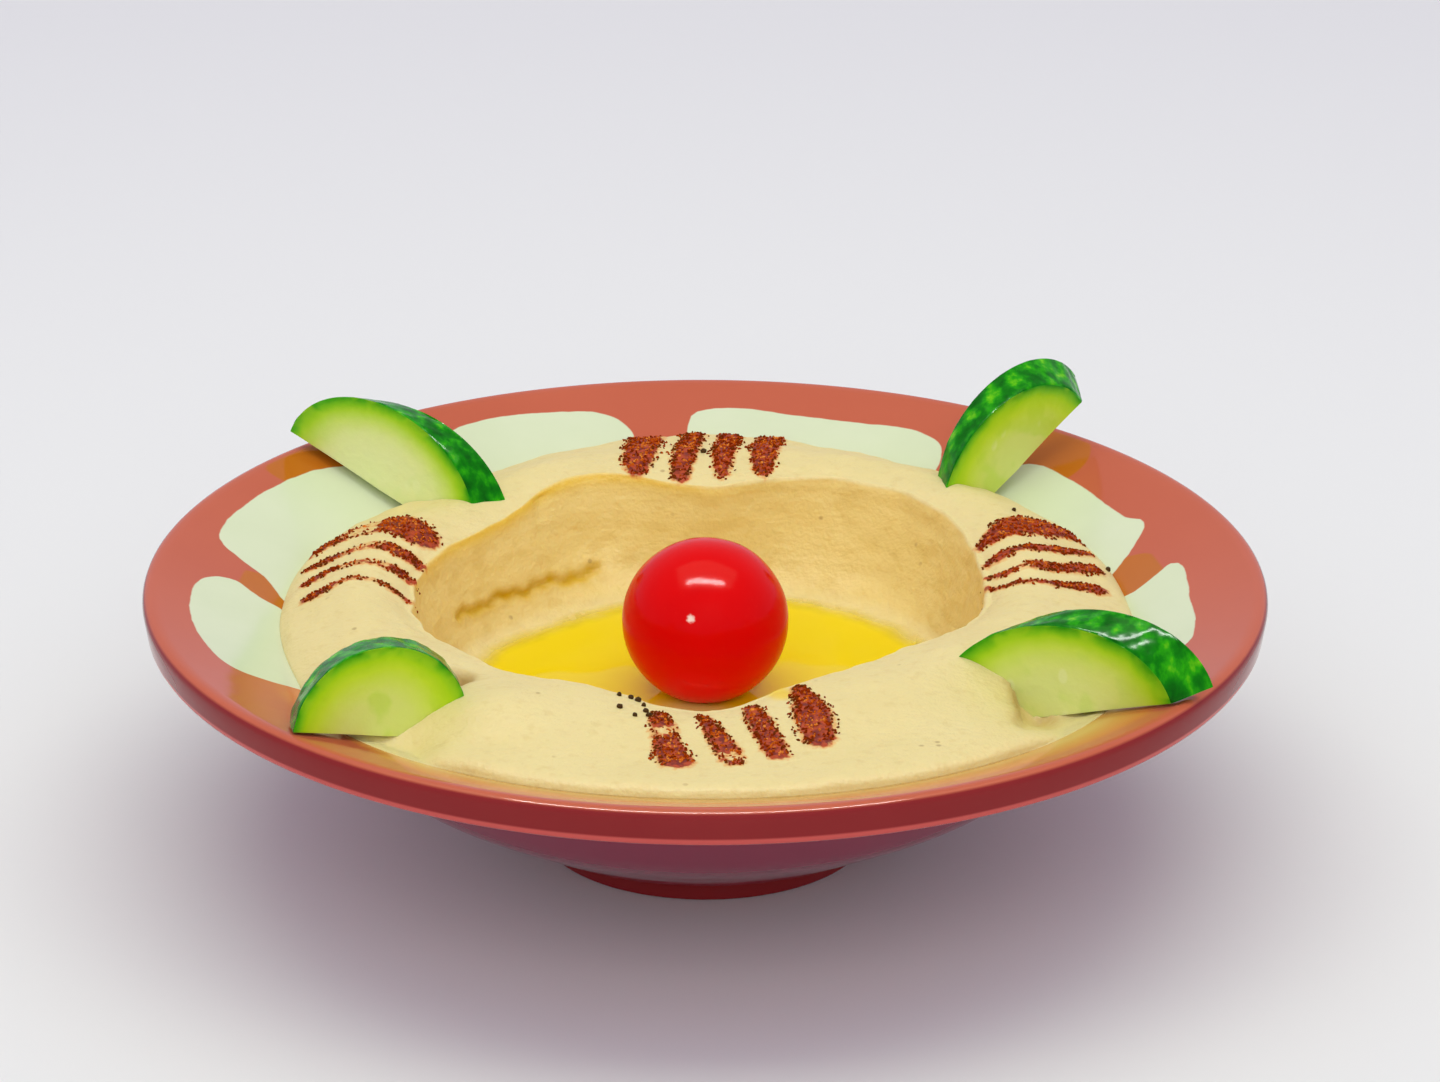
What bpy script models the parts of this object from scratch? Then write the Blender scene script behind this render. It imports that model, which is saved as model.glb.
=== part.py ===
"""Hummus spread as a ring in a flared bowl, with a pool of olive oil, a cherry tomato and
four half slices of cucumber. Metres, +Z up, origin under the middle of the bowl's foot ring."""
import math

import bmesh
import bpy
import numpy as np
from mathutils import Vector

MM = 0.001
TURNS = 56
GAP = 0.35 * MM

# Bowl: one moulded piece, so its section is given whole, in millimetres from the axis.
RIM_RADIUS = 100
RIM_HEIGHT = 50
FOOT_RADIUS = 30
FOOT_HEIGHT = 5
FOOT_RECESS = 3
BAND_HEIGHT = 6.4
WELL_DEPTH_Z = 8
SHOULDER = (75.5, 41.6)
BOWL_INSIDE = [
    (97.3, 49.8), (91, 47.7), (84, 45.2), (79, 43.3), SHOULDER, (73, 39.2), (69.5, 34.6),
    (62, 26), (50, 18.2), (38, 12.2), (25, 8.9), (0, WELL_DEPTH_Z),
]

# Hummus: its section is read at sixteen compass points, counter-clockwise from +X.
# Each row holds, in millimetres: the edge on the bowl, the crest's radius and height,
# the radius and height of the brink of the middle well, and the edge of the oil.
HUMMUS_ROWS = [
    (76.5, 59, 48.2, 50.0, 45.0, 45.5),
    (77.0, 61, 48.4, 52.0, 45.2, 46.5),
    (78.0, 66, 48.0, 56.5, 45.2, 47.0),
    (79.5, 67, 48.2, 57.5, 46.0, 46.0),
    (81.5, 65, 48.8, 50.5, 46.4, 44.0),
    (79.0, 66, 48.6, 58.0, 47.4, 43.0),
    (76.5, 63, 47.2, 51.5, 44.8, 42.5),
    (77.0, 63, 47.6, 53.5, 44.6, 45.0),
    (76.0, 63, 47.8, 52.0, 43.8, 46.0),
    (77.0, 62, 48.2, 50.5, 45.8, 45.0),
    (85.0, 62, 49.4, 50.5, 47.4, 43.5),
    (86.5, 61, 49.6, 50.5, 47.8, 43.0),
    (86.0, 61, 47.6, 50.0, 45.4, 42.0),
    (86.5, 58, 49.6, 46.0, 47.8, 40.0),
    (85.5, 57, 49.4, 43.5, 47.4, 38.0),
    (81.0, 58, 49.2, 47.0, 46.6, 42.0),
]
# Where the slices were pushed in, the hummus swelled or sank: place, reach and rise.
SWELLS = [((-35, -58), 5.5, 2.4), ((62, -49), 7.5, -4.2), ((46, -31), 6, 1.2)]
FLOOR_Z = 26.5
TROUGH = (24, 25.4)
OIL_LEVEL = 28
OIL_EDGE = 0.5
OIL_HOLE = 7.2

# Cherry tomato, standing in the middle of the well.
TOMATO_RADIUS = 14.9
TOMATO_PLACE = (0, -1.2, 41.8)
TOMATO_RINGS = 12
TOMATO_TURNS = 24

# Cucumber half slices: cut across at a slant from half a cucumber. Each row holds the middle
# of the cut edge, then yaw, lean and roll of the face, the cucumber's radius, the slant of
# the cut and the slice's thickness. Lengths are in millimetres and angles in degrees.
CUCUMBERS = {
    "cucumber_back_left": ((-61.0, 51.5, 45.6), (-30.5, 3.7, -20.5), 16.6, 41.0, 5.6),
    "cucumber_back_right": ((58.4, 57.0, 47.6), (38.4, -2.9, 33.5), 15.4, 35.6, 6.1),
    "cucumber_front_left": ((-54.5, -61.6, 46.2), (30.4, 5.0, -14.5), 15.7, 22.2, 7.0),
    "cucumber_front_right": ((59.8, -45.3, 42.9), (-29.3, -3.4, 18.5), 17.0, 43.5, 5.8),
}
ARC_STEPS = 18

COLOURS = {
    "bowl": ((0.42, 0.10, 0.07), 0.28),
    "hummus": ((0.86, 0.70, 0.38), 0.55),
    "olive_oil": ((0.85, 0.62, 0.02), 0.08),
    "tomato": ((0.72, 0.01, 0.01), 0.12),
    "cucumber": ((0.25, 0.55, 0.10), 0.35),
}


def clear_scene():
    for item in list(bpy.data.objects):
        bpy.data.objects.remove(item, do_unlink=True)


def material(kind):
    colour, roughness = COLOURS[kind]
    made = bpy.data.materials.get(kind) or bpy.data.materials.new(kind)
    made.use_nodes = True
    shader = made.node_tree.nodes["Principled BSDF"]
    shader.inputs["Base Color"].default_value = (*colour, 1)
    shader.inputs["Roughness"].default_value = roughness
    shader.inputs["Metallic"].default_value = 0
    return made


def add_object(name, kind, rows, faces):
    """A named object from points in millimetres, with its faces turned outwards."""
    mesh = bpy.data.meshes.new(name)
    mesh.from_pydata([Vector(row) * MM for row in rows], [], faces)
    work = bmesh.new()
    work.from_mesh(mesh)
    bmesh.ops.recalc_face_normals(work, faces=work.faces)
    work.to_mesh(mesh)
    work.free()
    mesh.shade_smooth()
    mesh.set_sharp_from_angle(angle=math.radians(40))
    mesh.materials.append(material(kind))
    item = bpy.data.objects.new(name, mesh)
    bpy.context.collection.objects.link(item)
    return item


def flowing(points, per_span):
    """A smooth curve through the points, with the same number of steps in each span."""
    row = np.array([points[0], *points, points[-1]], float)
    curve = []
    for i in range(1, len(row) - 2):
        a, b, c, d = row[i - 1:i + 3]
        for t in np.arange(per_span) / per_span:
            curve.append(0.5 * (2 * b + (c - a) * t + (2 * a - 5 * b + 4 * c - d) * t ** 2
                                + (3 * b - a - 3 * c + d) * t ** 3))
    curve.append(row[-2])
    return [tuple(point) for point in curve]


def turned(name, kind, section_at, turns, centre=(0, 0, 0)):
    """A closed body round an axis. section_at(angle) runs from the axis back to the axis."""
    middle = Vector(centre)
    sections = [section_at(math.tau * i / turns) for i in range(turns)]
    first = sections[0][0]
    last = sections[0][-1]
    rows = [middle + Vector((0, 0, first[1])), middle + Vector((0, 0, last[1]))]
    inner = len(sections[0]) - 2
    for i, section in enumerate(sections):
        angle = math.tau * i / turns
        for radius, height in section[1:-1]:
            rows.append(middle + Vector((radius * math.cos(angle), radius * math.sin(angle), height)))
    faces = []
    for i in range(turns):
        here = 2 + i * inner
        there = 2 + (i + 1) % turns * inner
        faces.append((0, here, there))
        faces.append((1, there + inner - 1, here + inner - 1))
        for k in range(inner - 1):
            faces.append((here + k, here + k + 1, there + k + 1, there + k))
    return add_object(name, kind, rows, faces)


def bowl_section(angle):
    """Underside from the axis out to the rim, then the inside back to the axis."""
    band_foot = RIM_HEIGHT - BAND_HEIGHT
    foot = [
        (0, FOOT_RECESS), (FOOT_RADIUS - 4.2, FOOT_RECESS), (FOOT_RADIUS - 3, 0),
        (FOOT_RADIUS - 0.8, 0), (FOOT_RADIUS, 0.8), (FOOT_RADIUS + 0.2, FOOT_HEIGHT),
    ]
    underside = flowing([(39, 7.4), (50, 13.7), (62, 21), (69, 28.2), (75, 35.2), (81, 39.4), (89, 42)], 2)
    rim = [
        (RIM_RADIUS - 3.2, band_foot - 0.5), (RIM_RADIUS - 2, band_foot),
        (RIM_RADIUS - 1.4, band_foot + 0.9), (RIM_RADIUS, RIM_HEIGHT - 1.6),
        (RIM_RADIUS - 0.4, RIM_HEIGHT - 0.4), (RIM_RADIUS - 1.3, RIM_HEIGHT),
    ]
    return foot + underside + rim + BOWL_INSIDE


def bowl_floor(radius):
    """Height of the bowl's inside at a distance from the axis."""
    reach, height = zip(*reversed(BOWL_INSIDE))
    return float(np.interp(radius, reach, height))


def hummus_row(angle):
    """The row of HUMMUS_ROWS at any angle, flowing from one compass point to the next."""
    count = len(HUMMUS_ROWS)
    place = angle / math.tau * count
    i = math.floor(place)
    t = place - i
    a, b, c, d = (np.array(HUMMUS_ROWS[(i + k) % count]) for k in (-1, 0, 1, 2))
    return 0.5 * (2 * b + (c - a) * t + (2 * a - 5 * b + 4 * c - d) * t ** 2
                  + (3 * b - a - 3 * c + d) * t ** 3)


def swollen(angle, radius, height):
    """A point of the upper side, raised or sunk where a slice was pushed in."""
    for (x, y), reach, rise in SWELLS:
        away = math.hypot(radius * math.cos(angle) - x, radius * math.sin(angle) - y)
        height += rise * math.exp(-0.5 * (away / reach) ** 2)
    return radius, max(height, bowl_floor(radius) + 1.2)


def hummus_top(angle):
    """The hummus's upper side, from the middle of the well out to the bowl."""
    outer, crest, crest_z, brink, brink_z, oil = hummus_row(angle)
    seat = bowl_floor(outer) + GAP / MM
    side = outer - crest
    wall = brink - oil
    keys = [
        (0, FLOOR_Z), (9, FLOOR_Z - 0.1), TROUGH, (oil - 8, 26.2), (oil, OIL_LEVEL - 0.2),
        (oil + 0.55 * wall, 31.5), (oil + 0.8 * wall, 38), (brink, brink_z),
        (0.55 * brink + 0.45 * crest, 0.4 * brink_z + 0.6 * crest_z + 0.3), (crest, crest_z),
        (crest + 0.5 * side, 0.62 * crest_z + 0.38 * seat), (outer - 2.2, seat + 1.7), (outer, seat),
    ]
    return [swollen(angle, radius, height) for radius, height in flowing(keys, 2)[:-1]] + [(outer, seat)]


def hummus_section(angle):
    """The upper side, then the underside, which follows the bowl a gap above it."""
    top = hummus_top(angle)
    outer, seat = top[-1]
    lift = 1.6 * GAP / MM
    reach = [0.5 * (outer + SHOULDER[0]), SHOULDER[0], 73, 69.5, 62, 50, 30, 0]
    under = [(radius, bowl_floor(radius) + lift) for radius in reach]
    rim = [(outer, seat + 0.6), (outer - 0.2, bowl_floor(outer) + lift)]
    return top[:-1] + rim + under


def hummus_height(angle, radius):
    reach, height = zip(*hummus_top(angle))
    return float(np.interp(radius, reach, height))


def oil_section(angle):
    """The pool from its hole round the tomato out to its thin edge, then back underneath."""
    edge = hummus_row(angle)[5] - 3
    reach = [OIL_HOLE, 15, TROUGH[0], 0.5 * (TROUGH[0] + edge), edge]
    level = [(radius, OIL_LEVEL) for radius in reach]
    gap = GAP / MM
    under = [(radius, min(hummus_height(angle, radius) + gap, OIL_LEVEL - OIL_EDGE))
             for radius in reversed(reach)]
    return level + under


def ring_body(name, kind, section_at, turns):
    """A closed body round an axis that it doesn't touch. The section is a closed loop."""
    rows = []
    faces = []
    for i in range(turns):
        angle = math.tau * i / turns
        section = section_at(angle)
        count = len(section)
        for radius, height in section:
            rows.append((radius * math.cos(angle), radius * math.sin(angle), height))
        here = i * count
        there = (i + 1) % turns * count
        for k in range(count):
            n = (k + 1) % count
            faces.append((here + k, here + n, there + n, there + k))
    return add_object(name, kind, rows, faces)


def tomato_section(angle):
    """Half a circle from the top to the foot."""
    turns = [math.pi * k / TOMATO_RINGS for k in range(TOMATO_RINGS + 1)]
    return [(TOMATO_RADIUS * math.sin(turn), TOMATO_RADIUS * math.cos(turn)) for turn in turns]


def slice_frame(place, turn):
    """Axes of a half slice: along its cut edge, up to its rind, and out of its face."""
    yaw, lean, roll = (math.radians(value) for value in turn)
    level = Vector((math.cos(yaw), math.sin(yaw), 0))
    face = Vector((math.cos(lean) * math.sin(yaw), -math.cos(lean) * math.cos(yaw), math.sin(lean)))
    rise = face.cross(level)
    along = level * math.cos(roll) + rise * math.sin(roll)
    up = rise * math.cos(roll) - level * math.sin(roll)
    return Vector(place), along, up, face


def half_slice(name, row, swell=0.0):
    """A slanted half slice. With swell it is the hole that such a slice leaves."""
    place, turn, radius, slant, thickness = row
    middle, along, up, face = slice_frame(place, turn)
    tilt = math.tan(math.radians(slant))
    half = radius / math.cos(math.radians(slant)) + swell
    height = radius + swell
    rows = []
    for depth in (-swell, thickness + swell):
        shift = -face * depth + along * depth * tilt
        for k in range(ARC_STEPS + 1):
            turned_by = math.pi * k / ARC_STEPS
            rows.append(middle + shift + along * half * math.cos(turned_by)
                        + up * (height * math.sin(turned_by) - swell * (k in (0, ARC_STEPS))))
    count = ARC_STEPS + 1
    faces = [tuple(range(count)), tuple(range(2 * count - 1, count - 1, -1))]
    for k in range(count):
        n = (k + 1) % count
        faces.append((k, k + count, n + count, n))
    return add_object(name, "cucumber", rows, faces)


def cut_by_slices(hummus):
    """Presses each slice's place into the hummus, a gap wider than the slice."""
    for name, row in CUCUMBERS.items():
        cutter = half_slice("hole_" + name, row, GAP / MM)
        cutter.hide_render = True
        cutter.display_type = "WIRE"
        cut = hummus.modifiers.new(cutter.name, "BOOLEAN")
        cut.operation = "DIFFERENCE"
        cut.object = cutter


clear_scene()
turned("bowl", "bowl", bowl_section, TURNS)
hummus_body = turned("hummus", "hummus", hummus_section, TURNS)
ring_body("olive_oil", "olive_oil", oil_section, TURNS)
turned("tomato", "tomato", tomato_section, TOMATO_TURNS, TOMATO_PLACE)
for slice_name, slice_row in CUCUMBERS.items():
    half_slice(slice_name, slice_row)
cut_by_slices(hummus_body)
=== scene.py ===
"""A helping of hummus in its bowl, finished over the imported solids. Metres, +Z up.
Sizes are given in millimetres and are scaled where a mesh is made."""
import math

import bmesh
import bpy
import numpy as np
from mathutils import Matrix, Vector, noise
from mathutils.bvhtree import BVHTree


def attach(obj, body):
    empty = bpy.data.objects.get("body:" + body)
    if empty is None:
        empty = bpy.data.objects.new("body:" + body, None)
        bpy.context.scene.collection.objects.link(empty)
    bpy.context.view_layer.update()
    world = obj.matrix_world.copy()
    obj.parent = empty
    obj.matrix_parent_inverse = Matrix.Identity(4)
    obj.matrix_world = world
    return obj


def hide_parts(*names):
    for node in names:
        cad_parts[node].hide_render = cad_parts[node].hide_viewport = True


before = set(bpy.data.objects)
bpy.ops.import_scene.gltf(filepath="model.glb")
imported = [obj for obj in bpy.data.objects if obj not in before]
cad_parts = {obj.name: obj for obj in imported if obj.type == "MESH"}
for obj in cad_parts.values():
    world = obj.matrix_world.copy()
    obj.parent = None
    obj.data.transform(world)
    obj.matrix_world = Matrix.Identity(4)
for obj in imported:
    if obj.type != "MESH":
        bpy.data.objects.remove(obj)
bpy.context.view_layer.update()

# Camera: it stands a little under a metre in front of the bowl and looks down at the table at
# about 22 degrees.
LENS = 140.19
SENSOR = 36
CAMERA_PLACE = (0, -0.92284, 0.43506)
CAMERA_RIGHT = Vector((0.99999293, -0.00136489, 0.00350384))
CAMERA_AHEAD = Vector((0.00259229, 0.92521707, -0.37942938))

camera_up = CAMERA_RIGHT.cross(CAMERA_AHEAD)
camera = bpy.data.objects.new("camera", bpy.data.cameras.new("camera"))
camera.data.lens = LENS
camera.data.sensor_width = SENSOR
camera.data.sensor_fit = "HORIZONTAL"
camera.matrix_world = Matrix((CAMERA_RIGHT, camera_up, -CAMERA_AHEAD)).transposed().to_4x4()
camera.location = CAMERA_PLACE
bpy.context.collection.objects.link(camera)
bpy.context.scene.camera = camera
bpy.context.scene.view_settings.view_transform = "Standard"


# Bowl: one piece of moulded melamine, terracotta red all through, with a pattern of pale green
# petals under the gloss of its inside. It is turned from one section about its axis.
MM = 0.001
WELD_DISTANCE = 0.001
BOWL_TURNS = 360
RIM_RADIUS = 100
RIM_HEIGHT = 50
FOOT_RADIUS = 30
FOOT_HEIGHT = 5
FOOT_RECESS = 3
BAND_FOOT = 43.9
BOWL_FOOT = [
    (0, FOOT_RECESS), (12, FOOT_RECESS), (FOOT_RADIUS - 4.2, FOOT_RECESS), (FOOT_RADIUS - 3.4, 2.2),
    (FOOT_RADIUS - 3, 0), (FOOT_RADIUS - 0.8, 0), (FOOT_RADIUS - 0.2, 0.3), (FOOT_RADIUS, 0.8),
    (FOOT_RADIUS + 0.2, FOOT_HEIGHT - 0.4), (FOOT_RADIUS + 0.5, FOOT_HEIGHT),
]
BOWL_UNDERSIDE = [(39, 7.4), (50, 13.7), (62, 21), (69, 28.2), (75, 35.2), (81, 39.4), (89, 42)]
BOWL_LIP = [
    (97.6, BAND_FOOT - 0.5), (98.5, BAND_FOOT - 0.35), (99.1, BAND_FOOT), (99.4, BAND_FOOT + 0.5),
    (99.5, BAND_FOOT + 1.1), (99.7, 46.4), (RIM_RADIUS, 48.4), (99.95, 48.9), (99.75, 49.4),
    (99.4, 49.75), (98.9, 49.95), (98.3, RIM_HEIGHT),
]
BOWL_INSIDE = [
    (97.3, 49.8), (91, 47.7), (84, 45.2), (79, 43.3), (75.5, 41.6), (73, 39.2), (69.5, 34.6),
    (62, 26), (50, 18.2), (38, 12.2), (25, 8.9), (0, 8),
]
# Outlines of the petals, as azimuth in degrees and distance from the axis. They are on the
# inside of the bowl only, and run on a little way under the hummus.
PETALS_FROM = 60
PETAL_SKIN = 1.5
PETALS = [
    [(181, 72), (177, 80), (174.8, 85), (176.5, 89.5), (181, 91.4), (190, 91.7), (198, 90.4),
     (203, 88.3), (205.5, 83.5), (207, 76), (205, 72)],
    [(174, 72), (170.5, 81), (168.3, 87), (166, 91.2), (161, 92.6), (152, 92.8), (143, 92),
     (137.5, 88.5), (135, 82), (136, 72)],
    [(125, 72), (126, 80), (125.5, 86), (122.5, 91), (115, 92.2), (106, 91), (102.5, 89.4),
     (100.5, 86.5), (99.5, 82), (101, 72)],
    [(91, 72), (92.4, 80), (92.2, 86), (91, 89.3), (86, 90.3), (78, 89), (66, 89.2), (61.5, 88.4),
     (58.5, 86), (57, 80), (59, 72)],
    [(46, 72), (48, 80), (47.5, 86), (44, 88.6), (37, 87.7), (30, 86.5), (26, 86.5), (23.4, 87.8),
     (20.5, 85.2), (15, 77), (16, 72)],
    [(5, 72), (7.3, 78), (9.5, 83), (10.8, 86), (8.5, 87.4), (0, 86.6), (-8, 87.5), (-14, 87.2),
     (-18, 84), (-20, 78), (-18, 72)],
]
# Painted reflection of slices and hummus, amber between the petals: middle, reach and the radius
# where it stops.
REFLECTION_SPOTS = [
    ((-80, 5), 9, 84.5), ((77, 16), 8, 84.5), ((63.5, 64), 9.5, 98), ((-76, 57), 8.5, 98),
]
# Along the front the inside turns golden towards the hummus, and less far out on the left.
GOLD_LIMIT = 96
GOLD_LOSS_LEFT = 9
GOLD_FADE = 9
# Depths that stand for no petal and no painted reflection.
NO_PETAL = -20.0
NO_REFLECTION = -9.0


def paint(red, green, blue):
    """A colour as the shaders take it, from the usual 0 to 255."""
    parts = [value / 255 for value in (red, green, blue)]
    return (*(p / 12.92 if p < 0.04045 else ((p + 0.055) / 1.055) ** 2.4 for p in parts), 1)


class Shade:
    """A value or colour that changes over a surface, and can be added, taken away or multiplied."""

    def __init__(self, finish, socket):
        self.finish = finish
        self.socket = socket

    def math(self, operation, first, second):
        return self.finish.node("Math", {"operation": operation}, {0: first, 1: second})

    def __add__(self, other):
        return self.math("ADD", self, other)

    def __sub__(self, other):
        return self.math("SUBTRACT", self, other)

    def __rsub__(self, other):
        return self.math("SUBTRACT", other, self)

    def __mul__(self, other):
        return self.math("MULTIPLY", self, other)

    __radd__ = __add__
    __rmul__ = __mul__


class Finish:
    """A material under way. Each method adds nodes and gives back their result."""

    def __init__(self, name, constants):
        self.material = bpy.data.materials.new(name)
        self.material.use_nodes = True
        self.shader = self.material.node_tree.nodes["Principled BSDF"]
        for socket, value in constants.items():
            self.shader.inputs[socket].default_value = value
        self.spot = self.node("TexCoord", {}, {}, "Object")
        self.mm = self.node("VectorMath", {"operation": "SCALE"}, {0: self.spot, "Scale": 1000})

    def node(self, kind, settings, sockets, output=0):
        made = self.material.node_tree.nodes.new("ShaderNode" + kind)
        for key, value in settings.items():
            if key == "stops":
                self.set_stops(made.color_ramp, value)
            else:
                setattr(made, key, value)
        for key, value in sockets.items():
            if isinstance(value, Shade):
                self.material.node_tree.links.new(value.socket, made.inputs[key])
            else:
                made.inputs[key].default_value = value
        return Shade(self, made.outputs[output])

    @staticmethod
    def set_stops(ramp, stops):
        while len(ramp.elements) < len(stops):
            ramp.elements.new(1)
        for element, (position, colour) in zip(ramp.elements, stops):
            element.position = position
            element.color = colour

    def ramp(self, value, stops):
        return self.node("ValToRGB", {"stops": stops}, {0: value})

    def mixed(self, share, first, second):
        """The first colour where share is 0 and the second where it is 1."""
        return self.node("Mix", {"data_type": "RGBA"}, {0: share, 6: first, 7: second}, 2)

    def stretched(self, stretch):
        return self.node("VectorMath", {"operation": "MULTIPLY"}, {0: self.mm, 1: stretch})

    def clouds(self, size, detail=2, stretch=(1, 1, 1)):
        """Noise from 0 to 1 whose patches are about that many millimetres across."""
        sockets = {"Vector": self.stretched(stretch), "Scale": 1 / size, "Detail": detail}
        return self.node("TexNoise", {}, sockets)

    def cells(self, size, output="Distance", stretch=(1, 1, 1)):
        """Cells about that many millimetres across. Distance is 0 in the middle of each cell."""
        sockets = {"Vector": self.stretched(stretch), "Scale": 1 / size}
        return self.node("TexVoronoi", {}, sockets, output)

    def step(self, value, low, high):
        """0 below low and 1 above high, with a soft change between them."""
        settings = {"interpolation_type": "SMOOTHSTEP"}
        return self.node("MapRange", settings, {0: value, 1: low, 2: high})

    def along(self, axis):
        """The place along X, Y or Z, in millimetres."""
        return self.node("SeparateXYZ", {}, {0: self.mm}, axis)

    def stored(self, name):
        """A number that the mesh holds for each of its points."""
        return self.node("Attribute", {"attribute_name": name}, {}, "Fac")

    def rough(self, height, depth):
        """Bump whose height of 0 to 1 stands for that depth in millimetres."""
        sockets = {"Height": height, "Distance": depth * MM, "Strength": 1}
        self.feed("Normal", self.node("Bump", {}, sockets))

    def feed(self, socket, value):
        self.material.node_tree.links.new(value.socket, self.shader.inputs[socket])


def gain(value, low, high):
    """0 up to low, 1 from high on, and straight between them."""
    return np.clip((value - low) / (high - low), 0, 1)


def bell(away, width, power=2):
    """1 in the middle, falling off smoothly at about that width to either side."""
    return np.exp(-0.5 * (away / width) ** power)


def between(a, b, c, d, t):
    """A place on the smooth curve from b to c, when the points before and after are a and d."""
    return 0.5 * (2 * b + (c - a) * t + (2 * a - 5 * b + 4 * c - d) * t ** 2
                  + (3 * b - a - 3 * c + d) * t ** 3)


def flowing(points, per_span, closed=False):
    """A smooth curve through the points, with the same number of steps in each span."""
    ring = np.array(points, float)
    row = np.vstack([ring[-1:], ring, ring[:2]] if closed else [ring[:1], ring, ring[-1:]])
    curve = []
    for i in range(1, len(row) - 2):
        for t in np.arange(per_span) / per_span:
            curve.append(between(*row[i - 1:i + 3], t))
    if not closed:
        curve.append(row[-2])
    return np.array(curve)


def new_mesh(name, points, faces, values):
    """A mesh from points in millimetres. values holds one number a point, by name."""
    mesh = bpy.data.meshes.new(name)
    mesh.from_pydata(np.asarray(points, float) * MM, [], faces)
    for key, numbers in values.items():
        layer = mesh.attributes.new(key, "FLOAT", "POINT")
        layer.data.foreach_set("value", np.asarray(numbers, np.float32))
    return mesh


def new_object(name, data):
    made = bpy.data.objects.new(name, data)
    bpy.context.collection.objects.link(made)
    return made


def new_piece(name, points, faces, values, sharp=180, weld=False):
    """A piece with its faces outward, smooth but for edges past the sharp angle in degrees."""
    mesh = new_mesh(name, points, faces, values)
    work = bmesh.new()
    work.from_mesh(mesh)
    if weld:
        bmesh.ops.remove_doubles(work, verts=work.verts, dist=WELD_DISTANCE * MM)
    bmesh.ops.recalc_face_normals(work, faces=work.faces)
    work.to_mesh(mesh)
    work.free()
    mesh.shade_smooth()
    if sharp < 180:
        mesh.set_sharp_from_angle(angle=math.radians(sharp))
    return new_object(name, mesh)


def turned_faces(turns, count):
    """Faces over sections round an axis. Points 0 and 1 are the poles at a section's two ends."""
    faces = []
    for i in range(turns):
        here = 2 + i * count
        there = 2 + (i + 1) % turns * count
        faces.append((0, here, there))
        faces.append((1, there + count - 1, here + count - 1))
        for k in range(count - 1):
            faces.append((here + k, here + k + 1, there + k + 1, there + k))
    return faces


def turned_points(sections):
    """Points for turned_faces, from one row of (radius, height) for each turn."""
    sections = np.asarray(sections, float)
    turns = np.arange(len(sections)) * math.tau / len(sections)
    radius = sections[:, 1:-1, 0]
    rows = np.stack([radius * np.cos(turns)[:, None], radius * np.sin(turns)[:, None],
                     sections[:, 1:-1, 1]], axis=2)
    poles = [(0, 0, sections[0, 0, 1]), (0, 0, sections[0, -1, 1])]
    return np.vstack([poles, rows.reshape(-1, 3)])


def section_places(turns, length):
    """For each of turned_points, its place along its section, counted from the first pole."""
    return np.concatenate([[0, length], np.tile(np.arange(1, length - 1), turns)])


def inside_by(outline, points):
    """How far each point lies inside a closed outline. It is negative outside."""
    starts = outline
    spans = np.roll(outline, -1, axis=0) - starts
    away = points[:, None] - starts[None]
    share = np.clip((away * spans).sum(2) / (spans ** 2).sum(1), 0, 1)
    distance = np.linalg.norm(away - share[..., None] * spans, axis=2).min(1)
    ends = starts + spans
    level = points[:, 1][:, None]
    crosses = (starts[:, 1] > level) != (ends[:, 1] > level)
    rise = np.where(spans[:, 1] == 0, 1e-9, spans[:, 1])
    at = starts[:, 0] + (level - starts[:, 1]) / rise * spans[:, 0]
    within = (crosses & (points[:, 0][:, None] < at)).sum(1) % 2 == 1
    return np.where(within, distance, -distance)


def bowl_floor(radius):
    """Height of the bowl's inside at a distance from the axis."""
    return np.interp(radius, *zip(*reversed(BOWL_INSIDE)))


underside = flowing(BOWL_UNDERSIDE, 5)
bowl_section = np.vstack([
    BOWL_FOOT, underside, BOWL_LIP, flowing(BOWL_INSIDE, 7)[:-1], BOWL_INSIDE[-1:]])
bowl_points = turned_points([bowl_section] * BOWL_TURNS)
bowl_x, bowl_y, bowl_z = bowl_points.T
reach = np.hypot(bowl_x, bowl_y)
petal_depth = np.full(len(bowl_points), NO_PETAL)
for petal in PETALS:
    outline = [(r * math.cos(math.radians(a)), r * math.sin(math.radians(a))) for a, r in petal]
    depth = inside_by(flowing(outline, 4, closed=True), bowl_points[:, :2])
    petal_depth = np.maximum(petal_depth, depth)
on_inside = (bowl_z > bowl_floor(reach) - PETAL_SKIN) & (reach > PETALS_FROM)
petal_depth = np.where(on_inside, petal_depth, NO_PETAL)
amber_depth = np.full(len(bowl_points), NO_REFLECTION)
for (x, y), wide, limit in REFLECTION_SPOTS:
    depth = wide - np.hypot(bowl_x - x, bowl_y - y)
    amber_depth = np.maximum(amber_depth, np.minimum(depth, limit - reach))
gold_limit = GOLD_LIMIT - GOLD_LOSS_LEFT * gain(-bowl_x, 46, 64)
front_gold = gain(-bowl_y, 26, 60) * gain(gold_limit - reach, 0, GOLD_FADE)
lip_top = len(BOWL_FOOT) + len(underside) + len(BOWL_LIP) - 3
bowl = new_piece("bowl_shell", bowl_points, turned_faces(BOWL_TURNS, len(bowl_section) - 2), {
    "petal_depth": petal_depth, "amber_depth": amber_depth, "front_gold": front_gold,
    "outside": section_places(BOWL_TURNS, len(bowl_section)) < lip_top}, sharp=38)

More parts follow.
